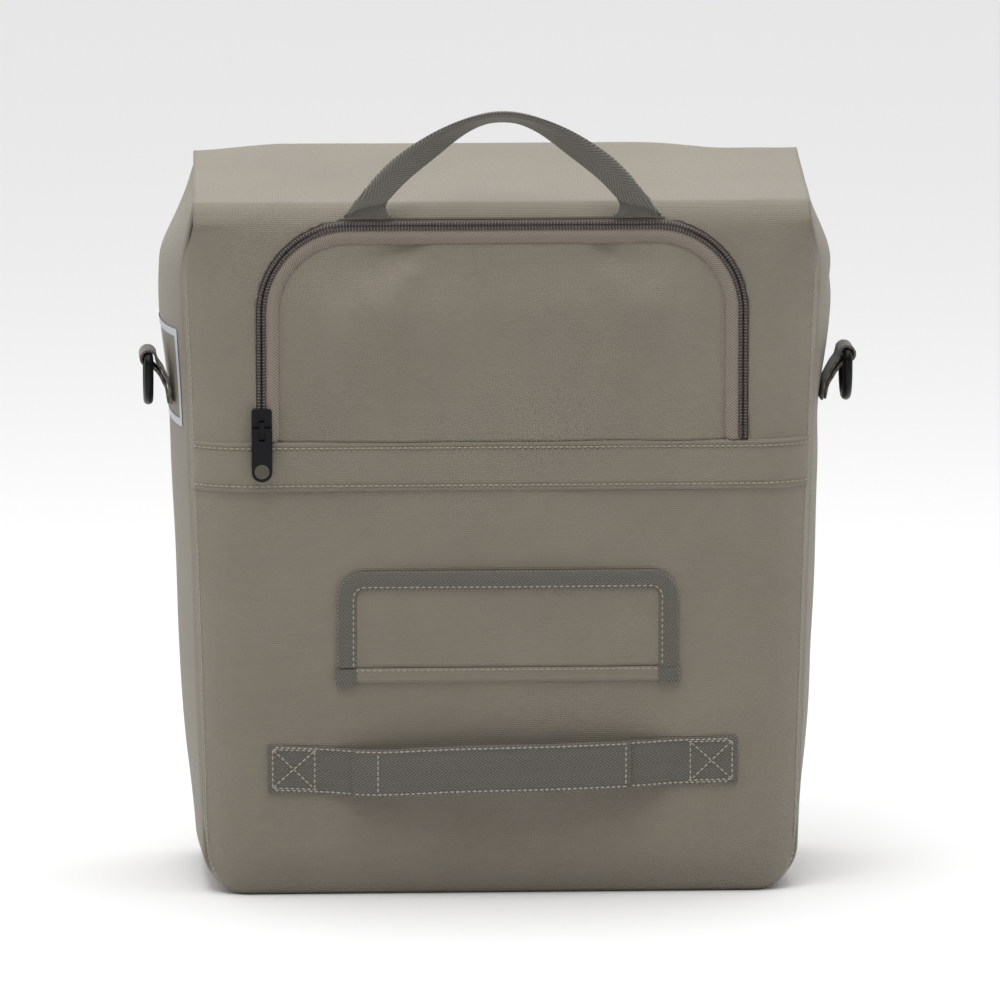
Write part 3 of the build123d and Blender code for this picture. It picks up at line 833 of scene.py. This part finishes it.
# ---- webbing ------------------------------------------------------------------------------
# Heavy polyester webbing in a herringbone twill: ribs slant one way and then the other
# across its width, with a firm rounded selvedge.
def webbing_weave(name, light, dark, pitch):
    """Herringbone twill: ribs pitch apart that change slant every 6 mm of width."""
    material, shader = surface(name, 0.72, ior=1.5, sheen=0.3)
    cloth = node(material, "ShaderNodeTexCoord").outputs["UV"]
    axes = node(material, "ShaderNodeSeparateXYZ", {0: cloth})
    zigzag = node(
        material, "ShaderNodeMath", {0: axes.outputs[1], 1: 6.2 * MM}, operation="PINGPONG"
    ).outputs[0]
    slant = multiply_add(material, zigzag, 1.5, axes.outputs[0])
    ribs = stripes(material, slant, pitch)
    cross = stripes(material, axes.outputs[1], 1.1 * MM)
    yarn = multiply_add(material, cross, 0.35, ribs)
    fuzz = speckle(material, cloth, 1500.0, detail=3.0)
    shade = multiply_add(material, fuzz, 1.6, yarn)
    mixed = node(material, "ShaderNodeMapRange", {0: shade, 1: -0.7, 2: 2.1}).outputs[0]
    tint(material, shader, mixed, dark, light)
    emboss(material, shader, yarn, 0.6, 0.25 * MM)
    return material


webbing = webbing_weave("herringbone_webbing", "#757168", "#3c3a34", 2.2 * MM)


# ---- small flap ---------------------------------------------------------------------------
# A flap of canvas over the lower hook, edged with folded webbing on three sides and hemmed
# along its lower edge, which is sewn to the bag.
hem_low, hem_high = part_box("anchor_flap_hem")
anchor_mid = (hem_low[0] + hem_high[0]) / 2
anchor_half = (hem_high[0] - hem_low[0]) / 2
anchor_top = window_high[2]
anchor_fold = hem_high[2]
anchor_round = 14 * MM
binding_width = 10 * MM
anchor_face = window_low[1]


def anchor_bow(share, z):
    """How far the small flap bows out at height z, share of its half width from the middle."""
    return 1.6 * MM * smooth(z, anchor_fold, anchor_top) * (0.5 + 0.5 * math.cos(share * 2.2))


def anchor_place(low, high):
    """Place of the flap's cloth between two heights."""
    def place(u, v):
        z = low + (v + 1) / 2 * (high - low)
        x = u * (anchor_half - 1 * MM)
        bow = anchor_bow(u, z)
        wave = 0.5 * MM * wander(x, z, 7.0, 28 * MM)
        return Vector((anchor_mid + x, anchor_face - 0.1 * MM - bow - wave * 0.6, z))
    return place


anchor_cloth = cut_sheet("small_flap_cloth", 80, 24, (0.1745, 0.05),
                         anchor_place(anchor_fold + 0.3 * MM, anchor_top - 1 * MM), canvas)
thicken(anchor_cloth, 1.2 * MM)
anchor_outline = rounded_block("anchor_outline", anchor_half - 1 * MM, anchor_fold - 5 * MM,
                               anchor_top - 1 * MM, anchor_round - 1 * MM, -0.2, 0.0)
anchor_outline.data.transform(Matrix.Translation((anchor_mid, 0, 0)))
trim(anchor_cloth, anchor_outline, "INTERSECT")
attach(anchor_cloth, "small_flap")
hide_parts("anchor_flap")


def hem_place(u, v):
    """Place of the hem's cloth, folded under along its lower edge."""
    z = hem_low[2] + (v + 1) / 2 * (hem_high[2] - hem_low[2])
    x = u * (anchor_half - 1 * MM)
    sink = 1.5 * MM * max(1 - (v + 1) / 2 * 8 / 1.6, 0) ** 2
    return Vector((anchor_mid + x, anchor_face - 0.5 * MM + sink, z))


hem = cut_sheet("small_flap_hem_cloth", 60, 12, (0.1745, 0.008), hem_place, canvas)
thicken(hem, 1.2 * MM)
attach(hem, "bag")
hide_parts("anchor_flap_hem")


def binding_line(run, grow):
    """The binding's outer edge at this distance, moved sideways by grow."""
    low = anchor_fold + 0.3 * MM
    x, z, total = arch_line(anchor_half, low, anchor_top, anchor_round, run, grow)
    return anchor_mid + x, z


binding_length = arch_line(anchor_half, anchor_fold, anchor_top, anchor_round, 0.0, 0.0)[2]


def binding_place(u, v):
    """Place of the binding: webbing folded over the edge, seen from outside."""
    run = (u + 1) / 2 * binding_length
    across = (v + 1) / 2
    x, z = binding_line(run, -binding_width * (1 - across))
    bow = anchor_bow((x - anchor_mid) / anchor_half, z)
    dome = 0.9 * MM * math.sqrt(max(1 - (2 * across - 1) ** 4, 0))
    return Vector((x, anchor_face - 0.4 * MM - bow - dome, z))


binding = cut_sheet("small_flap_binding", 160, 12, (binding_length, binding_width),
                    binding_place, webbing)
thicken(binding, 1.0 * MM)
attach(binding, "small_flap")
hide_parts("anchor_flap_binding")

binding_stitches = []
steps = 120
for step in range(steps + 1):
    run = step / steps * (binding_length - 1 * MM)
    x, z = binding_line(run, -binding_width + 1.8 * MM)
    bow = anchor_bow((x - anchor_mid) / anchor_half, z)
    binding_stitches.append(Vector((x, anchor_face - 1.15 * MM - bow, z)))
lay_copies("binding_stitches", stitch, frames_along(binding_stitches, stitch_pitch, outward),
           seam_thread, "small_flap")
hem_line = []
for side in (-1, 1):
    x = anchor_mid + side * (anchor_half - 2 * MM)
    hem_line.append(Vector((x, anchor_face - 0.45 * MM, anchor_fold - 1.2 * MM)))
lay_copies("hem_stitches", stitch, frames_along(hem_line, stitch_pitch, outward),
           seam_thread, "bag")


def binding_end(side):
    """Place of the short turned-under end of the binding at a lower corner."""
    def place(u, v):
        centre = anchor_mid + side * (anchor_half - binding_width / 2 + 0.4 * MM)
        x = centre + v * (binding_width / 2 + 0.5 * MM)
        z = hem_low[2] - 0.8 * MM + (u + 1) / 2 * (hem_high[2] - hem_low[2] + 0.8 * MM)
        dome = 0.7 * MM * math.sqrt(max(1 - v ** 4, 0)) * math.sqrt(max(1 - u ** 6, 0))
        return Vector((x, anchor_face - 0.7 * MM - dome, z))
    return place


for name, side in (("left", -1), ("right", 1)):
    end = cut_sheet(f"binding_end_{name}", 12, 12, (8 * MM, binding_width), binding_end(side), webbing)
    end.data.flip_normals()
    thicken(end, 0.8 * MM)
    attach(end, "bag")


# ---- grab strap ---------------------------------------------------------------------------
# 25 mm webbing sewn flat at both ends with a box and a cross, and bowed in the middle so
# that fingers go behind it. A second layer is sewn over the middle.
strap_low, strap_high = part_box("grab_strap")
double_low, double_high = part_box("grab_strap_cover")
strap_half = (strap_high[0] - strap_low[0]) / 2
strap_width = strap_high[2] - strap_low[2]
strap_mid = (strap_high[2] + strap_low[2]) / 2
strap_sewn = strap_half - strap_width
webbing_half = 12.5 * MM
web = 1.5 * MM
bow_out = 12 * MM


def strap_face(x, layers):
    """Depth of the strap's outer face at x, with this many layers of webbing."""
    t = min(abs(x) / strap_sewn, 1.0)
    lift = bow_out * (1 - t * t) * smooth(1 - t, 0.0, 0.25)
    return back_face - lift - layers * web


def strap_drop(x):
    """The strap sags a little towards its middle, and its ends were sewn not quite level."""
    t = x / strap_half
    slip = 2.2 * MM * math.exp(-((x + 70 * MM) / (34 * MM)) ** 2)
    return strap_mid - 0.6 * MM * (1 - t * t) + 1.3 * MM * t - slip


def strap_place(low, high, layers):
    """Place of a length of strap between two places across the bag."""
    def place(u, v):
        x = low + (u + 1) / 2 * (high - low)
        edge = (1 - abs(v)) * strap_width / 2
        selvedge = 0.35 * MM * max(1 - edge / (1.2 * MM), 0) ** 2
        y = strap_face(x, layers) + selvedge - 0.25 * MM * wander(x, v * 0.01, layers, 14 * MM)
        return Vector((x, y, strap_drop(x) + v * strap_width / 2))
    return place


grab = cut_sheet("grab_strap_webbing", 160, 16, (2 * strap_half, strap_width),
                 strap_place(-strap_half, strap_half, 1.0), webbing)
thicken(grab, web * 0.95)
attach(grab, "bag")
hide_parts("grab_strap")
double = cut_sheet("grab_strap_second_layer", 110, 16, (double_high[0] - double_low[0], strap_width),
                   strap_place(double_low[0], double_high[0], 2.0), webbing)
thicken(double, web * 0.95)
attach(double, "bag")
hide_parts("grab_strap_cover")


def strap_line(x0, z0, x1, z1, layers):
    """Stitch points on the strap between two places, heights from the strap's middle."""
    points = []
    for step in range(13):
        x = x0 + (x1 - x0) * step / 12
        z = z0 + (z1 - z0) * step / 12
        points.append(Vector((x, strap_face(x, layers) - 0.05 * MM, strap_drop(x) + z)))
    return points


strap_pitch = 2.9 * MM
strap_frames = []
rim = strap_width / 2 - 2.4 * MM
for side in (-1, 1):
    far = side * (strap_half - 2.2 * MM)
    near = side * (strap_sewn + 1.0 * MM)
    for x0, z0, x1, z1 in (
        (far, -rim, far, rim), (near, -rim, near, rim), (far, rim, near, rim),
        (far, -rim, near, -rim), (far, -rim, near, rim), (far, rim, near, -rim),
    ):
        strap_frames += frames_along(strap_line(x0, z0, x1, z1, 1.0), strap_pitch, outward)
for x in (double_low[0] + 13 * MM, double_high[0] - 2.5 * MM):
    strap_frames += frames_along(strap_line(x, -rim, x, rim, 2.0), strap_pitch, outward)
for z in (-rim - 1 * MM, rim + 1 * MM):
    for x0, x1, layers in (
        (double_low[0] + 1 * MM, double_high[0] - 1 * MM, 2.0),
        (-strap_half + 3 * MM, double_low[0], 1.0),
        (double_high[0], strap_half - 3 * MM, 1.0),
    ):
        strap_frames += frames_along(strap_line(x0, z, x1, z, layers), strap_pitch, outward)
lay_copies("grab_strap_stitches", stitch, strap_frames, strap_thread, "bag")


# ---- carry handle -------------------------------------------------------------------------
# 25 mm webbing sewn flat behind the zip's upper edge. Above its ends it is folded in half
# lengthwise and sewn along its open edges, which makes a narrow firm grip.
handle_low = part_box("carry_handle")[0]
handle_base = handle_low[2] - 2 * MM
fold_line = [(-82.5, 1.0), (-71.5, 15.5), (-56.0, 32.0), (-36.0, 45.5), (-18.0, 53.0), (0.0, 56.0)]


def fold_point(t):
    """The fold's place across and up at t from 0, the left end, to 1, the right end."""
    side = 1 if t <= 0.5 else -1
    t = min(t, 1 - t) * 2 * (len(fold_line) - 1)
    index = min(int(t), len(fold_line) - 2)
    f = t - index
    mirrored = (-fold_line[-2][0], fold_line[-2][1])
    after = fold_line[index + 2] if index + 2 < len(fold_line) else mirrored
    knots = [fold_line[max(index - 1, 0)], fold_line[index], fold_line[index + 1], after]
    values = []
    for axis in (0, 1):
        a, b, c, d = (k[axis] for k in knots)
        values.append(0.5 * (2 * b + (c - a) * f + (2 * a - 5 * b + 4 * c - d) * f * f
                             + (3 * b - a - 3 * c + d) * f ** 3))
    return Vector((side * values[0] * MM, 0, handle_base + values[1] * MM))


def handle_place(u, v):
    """Place of the handle's webbing: u along it, v from its outer edge to its inner edge."""
    t = (u + 1) / 2
    end = min(t, 1 - t)
    fold = fold_point(t)
    step = 0.004
    along = (fold_point(min(t + step, 1.0)) - fold_point(max(t - step, 0.0))).normalized()
    inside = Vector((along.z, 0, -along.x))
    level = Vector((1 if t < 0.5 else -1, 0, 0))
    inside = level.lerp(inside, smooth(end, 0.0, 0.12)).normalized()
    turn = smooth(end, 0.12, 0.47) * 1.2
    inward = inside * math.cos(turn) + Vector((0, 1, 0)) * math.sin(turn)
    front = Vector((0, -1, 0)) * math.cos(turn) + inside * math.sin(turn)
    width = v * webbing_half
    crease = -webbing_half * (1 - smooth(end, 0.0, 0.13))
    reach = abs(width - crease)
    lift = 0.9 * MM * smooth(reach, 0, 2.5 * MM)
    place = inward * reach + front * (lift if width < crease else -lift)
    proud = 1.6 * MM + 0.9 * MM * smooth(end, 0.0, 0.13)
    return fold + place + Vector((0, back_face - proud - 5.0 * MM * smooth(end, 0.02, 0.3), 0))


handle = cut_sheet("carry_handle_webbing", 200, 40, (0.23, 0.025), handle_place, webbing)
thicken(handle, 1.5 * MM, offset=0)
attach(handle, "handle")
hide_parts("carry_handle")


# ---- rings and their tabs -----------------------------------------------------------------
# Moulded black acetal D rings, semi-gloss, each held by a loop of webbing sewn to a gusset.
def moulded_acetal(name, colour, roughness):
    """Acetal moulding: even colour, soft gloss, a fine spark-eroded texture."""
    material, shader = surface(name, roughness, ior=1.48, specular=0.2)
    shader.inputs["Base Color"].default_value = linear(colour)
    place = node(material, "ShaderNodeTexCoord").outputs["Object"]
    grain = speckle(material, place, 1800.0)
    emboss(material, shader, grain, 0.15, 0.05 * MM)
    return material


dress(moulded_acetal("black_acetal", "#0e0f11", 0.35), "left_ring", "right_ring")
dress(moulded_acetal("black_textured_nylon", "#1d1e20", 0.5),
      "left_hook", "right_hook", "lower_hook_slide", "lower_hook")
dress(moulded_acetal("grey_acetal", "#6a6c70", 0.42), "left_hook_latch", "right_hook_latch")


def gusset_face(z, y, sign):
    """How far from the middle the gusset's outer face is at height z and depth y."""
    return half_width(z) + gusset_bulge(z, y / seam_y, sign)


def tab_place(side):
    """Place of a ring tab's webbing: up the gusset, round the ring's bar and down again."""
    low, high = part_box(f"{side}_ring_tab")
    sign = -1 if side == "left" else 1
    ring_low, ring_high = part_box(f"{side}_ring")
    bar_x = abs(ring_low[0] + ring_high[0]) / 2
    bar_z = ring_high[2] - 2.5 * MM
    middle = (low[1] + high[1]) / 2
    foot = [gusset_face(low[2] + rise, middle, sign) for rise in (0, 9 * MM)]
    route = [
        (foot[0] + 0.9 * MM, low[2]), (foot[1] + 1.2 * MM, low[2] + 9 * MM),
        (bar_x - 7.4 * MM, bar_z - 6.5 * MM), (bar_x - 4.6 * MM, bar_z - 2.6 * MM),
    ]
    for step in range(11):
        angle = math.radians(185 - step * 28)
        route.append((bar_x + math.cos(angle) * 4.0 * MM, bar_z + math.sin(angle) * 4.0 * MM))
    route += [
        (bar_x - 3.4 * MM, bar_z - 5.6 * MM), (bar_x - 6.0 * MM, bar_z - 9.0 * MM),
        (foot[1] + 2.9 * MM, low[2] + 8 * MM), (foot[0] + 2.5 * MM, low[2] + 0.6 * MM),
    ]

    def place(u, v):
        t = (u + 1) / 2 * (len(route) - 1)
        index = min(int(t), len(route) - 2)
        (x0, z0), (x1, z1) = route[index], route[index + 1]
        f = t - index
        return Vector((sign * (x0 + (x1 - x0) * f), middle + v * webbing_half, z0 + (z1 - z0) * f))
    return place


for side in ("left", "right"):
    tab = cut_sheet(f"{side}_ring_tab_webbing", 80, 12, (0.062, 0.025), tab_place(side), webbing)
    thicken(tab, 1.3 * MM, offset=0)
    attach(tab, "bag")
    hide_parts(f"{side}_ring_tab")


# ---- reflective print ---------------------------------------------------------------------
# A plain four-sided outline in reflective ink, printed on the left gusset. Glass beads in
# the ink make it pale grey and matt, with a fine grain.
def reflective_ink(name):
    """Ink with glass beads: pale grey, matt, finely grained."""
    material, shader = surface(name, 0.5, ior=1.5)
    place = node(material, "ShaderNodeTexCoord").outputs["Object"]
    beads = speckle(material, place, 2500.0)
    tint(material, shader, beads, "#a9aeb4", "#c9ced4")
    return material


ink = reflective_ink("reflective_ink")
print_low, print_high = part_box("reflective_print")
near_y, far_y = print_low[1], print_high[1]
low_z, top_z = print_low[2], print_high[2]
print_line = 4 * MM


def print_place(y0, z0, y1, z1):
    """Place of one line of the print between two corners, lying on the left gusset."""
    def place(u, v):
        y = y0 + (y1 - y0) * (u + 1) / 2
        z = z0 + (z1 - z0) * (v + 1) / 2
        return Vector((-gusset_face(z, y, -1) - 0.4 * MM, y, z))
    return place


for name, y0, z0, y1, z1 in (
    ("low", near_y, low_z, far_y, low_z + print_line),
    ("top", near_y, top_z - print_line, far_y, top_z),
    ("near", near_y, low_z + print_line, near_y + print_line, top_z - print_line),
    ("far", far_y - print_line, low_z + print_line, far_y, top_z - print_line),
):
    bar = cut_sheet(f"reflective_{name}_line", 40, 24, (y1 - y0, z1 - z0),
                    print_place(y0, z0, y1, z1), ink)
    bar.data.flip_normals()
    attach(bar, "bag")
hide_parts("reflective_print")


# ---- hidden hardware ----------------------------------------------------------------------
# Behind the cover: an extruded aluminium rail screwed through a polyethylene board, and the
# lining cloth of the main compartment. Hook-and-loop pads close the flap.
def satin_metal(name, colour, roughness, stretch):
    """Extruded or drawn metal: fine lines along its length."""
    material, shader = surface(name, roughness, metallic=1.0)
    shader.inputs["Base Color"].default_value = linear(colour)
    place = node(material, "ShaderNodeTexCoord").outputs["Object"]
    spread = node(material, "ShaderNodeMapping", {0: place, "Scale": stretch}).outputs[0]
    lines = speckle(material, spread, 900.0)
    emboss(material, shader, lines, 0.2, 0.05 * MM)
    return material


dress(satin_metal("extruded_aluminium", "#c3c5c7", 0.34, (0.03, 1, 1)),
      "hook_rail", "lower_rail", "rail_backing_plate", "lower_backing_plate")
dress(satin_metal("zinc_plated_steel", "#b9bbbe", 0.3, (1, 1, 1)),
      "rail_screws", "lower_rail_screws", "left_latch_pin", "right_latch_pin",
      "left_latch_spring", "right_latch_spring")
dress(moulded_acetal("polyethylene_sheet", "#232426", 0.48), "back_board", "base_board")


def plain_cloth(name, light, dark, pitch, roughness):
    """Uncoated cloth drawn on Object coordinates, with a cross grain pitch apart."""
    material, shader = surface(name, roughness, ior=1.5, sheen=0.3)
    place = node(material, "ShaderNodeTexCoord").outputs["Object"]
    axes = node(material, "ShaderNodeSeparateXYZ", {0: place})
    rows = stripes(material, axes.outputs[2], pitch)
    columns = stripes(material, axes.outputs[0], pitch)
    weave = node(material, "ShaderNodeMath", {0: rows, 1: columns}, operation="MULTIPLY").outputs[0]
    fuzz = speckle(material, place, 700.0)
    shade = multiply_add(material, weave, 0.2, fuzz)
    tint(material, shader, shade, dark, light)
    emboss(material, shader, weave, 0.4, 0.2 * MM)
    return material


dress(plain_cloth("lining_taffeta", "#4a4844", "#34322f", 0.9 * MM, 0.6), "board_lining")
dress(plain_cloth("hook_and_loop_tape", "#2b2b2c", "#171718", 1.3 * MM, 0.85),
      "flap_loop_pads", "front_hook_pads")


bpy.data.objects.remove(stitch)


# ---- studio -------------------------------------------------------------------------------
# A pale floor under a world that is brighter above and behind, with a broad soft light
# overhead and a smaller one above and in front.
deselect()
bpy.ops.mesh.primitive_plane_add(size=12, location=(0, 0, 0))
floor = bpy.context.object
floor.name = "studio_floor"
paper, paper_shader = surface("studio_paper", 0.9)
paper_shader.inputs["Base Color"].default_value = linear("#ececec")
floor.data.materials.append(paper)

world = bpy.data.worlds.new("studio")
bpy.context.scene.world = world
world.use_nodes = True
background = world.node_tree.nodes["Background"]
background.inputs[0].default_value = linear("#ffffff")
toward = node(world, "ShaderNodeTexCoord").outputs["Generated"]
sides = node(world, "ShaderNodeSeparateXYZ", {0: toward})
lift = multiply_add(world, sides.outputs[2], 1.2, sides.outputs[1])
level = node(world, "ShaderNodeMapRange", {0: lift, 1: -0.5, 2: 0.9, 3: 0.1, 4: 1.12}).outputs[0]
world.node_tree.links.new(level, background.inputs[1])


def softbox(name, place, aim, size, power):
    """A square area light at place, pointing at aim."""
    data = bpy.data.lights.new(name, "AREA")
    data.shape = "SQUARE"
    data.size = size
    data.energy = power
    lamp = bpy.data.objects.new(name, data)
    bpy.context.collection.objects.link(lamp)
    lamp.location = place
    lamp.rotation_euler = (Vector(aim) - Vector(place)).to_track_quat("-Z", "Y").to_euler()


middle = Vector((0, 0, 0.19))
softbox("overhead", (0.0, 0.0, 2.0), middle, 1.5, 15.0)
softbox("key", (-0.35, -1.0, 2.1), middle, 0.9, 13.0)

camera_data = bpy.data.cameras.new("camera")
camera = bpy.data.objects.new("camera", camera_data)
bpy.context.collection.objects.link(camera)
azimuth, elevation, distance = math.radians(-3.0), math.radians(8.0), 6.0
target = Vector((-0.0013, back_face, 0.2071))
level_out = math.cos(elevation)
direction = Vector(
    (math.sin(azimuth) * level_out, -math.cos(azimuth) * level_out, math.sin(elevation))
)
camera.location = target + direction * distance
camera.rotation_euler = (-direction).to_track_quat("-Z", "Y").to_euler()
camera_data.lens = 417.8
camera_data.sensor_width = 36
bpy.context.scene.camera = camera
bpy.context.scene.view_settings.view_transform = "Standard"

low, high = cad_bounds
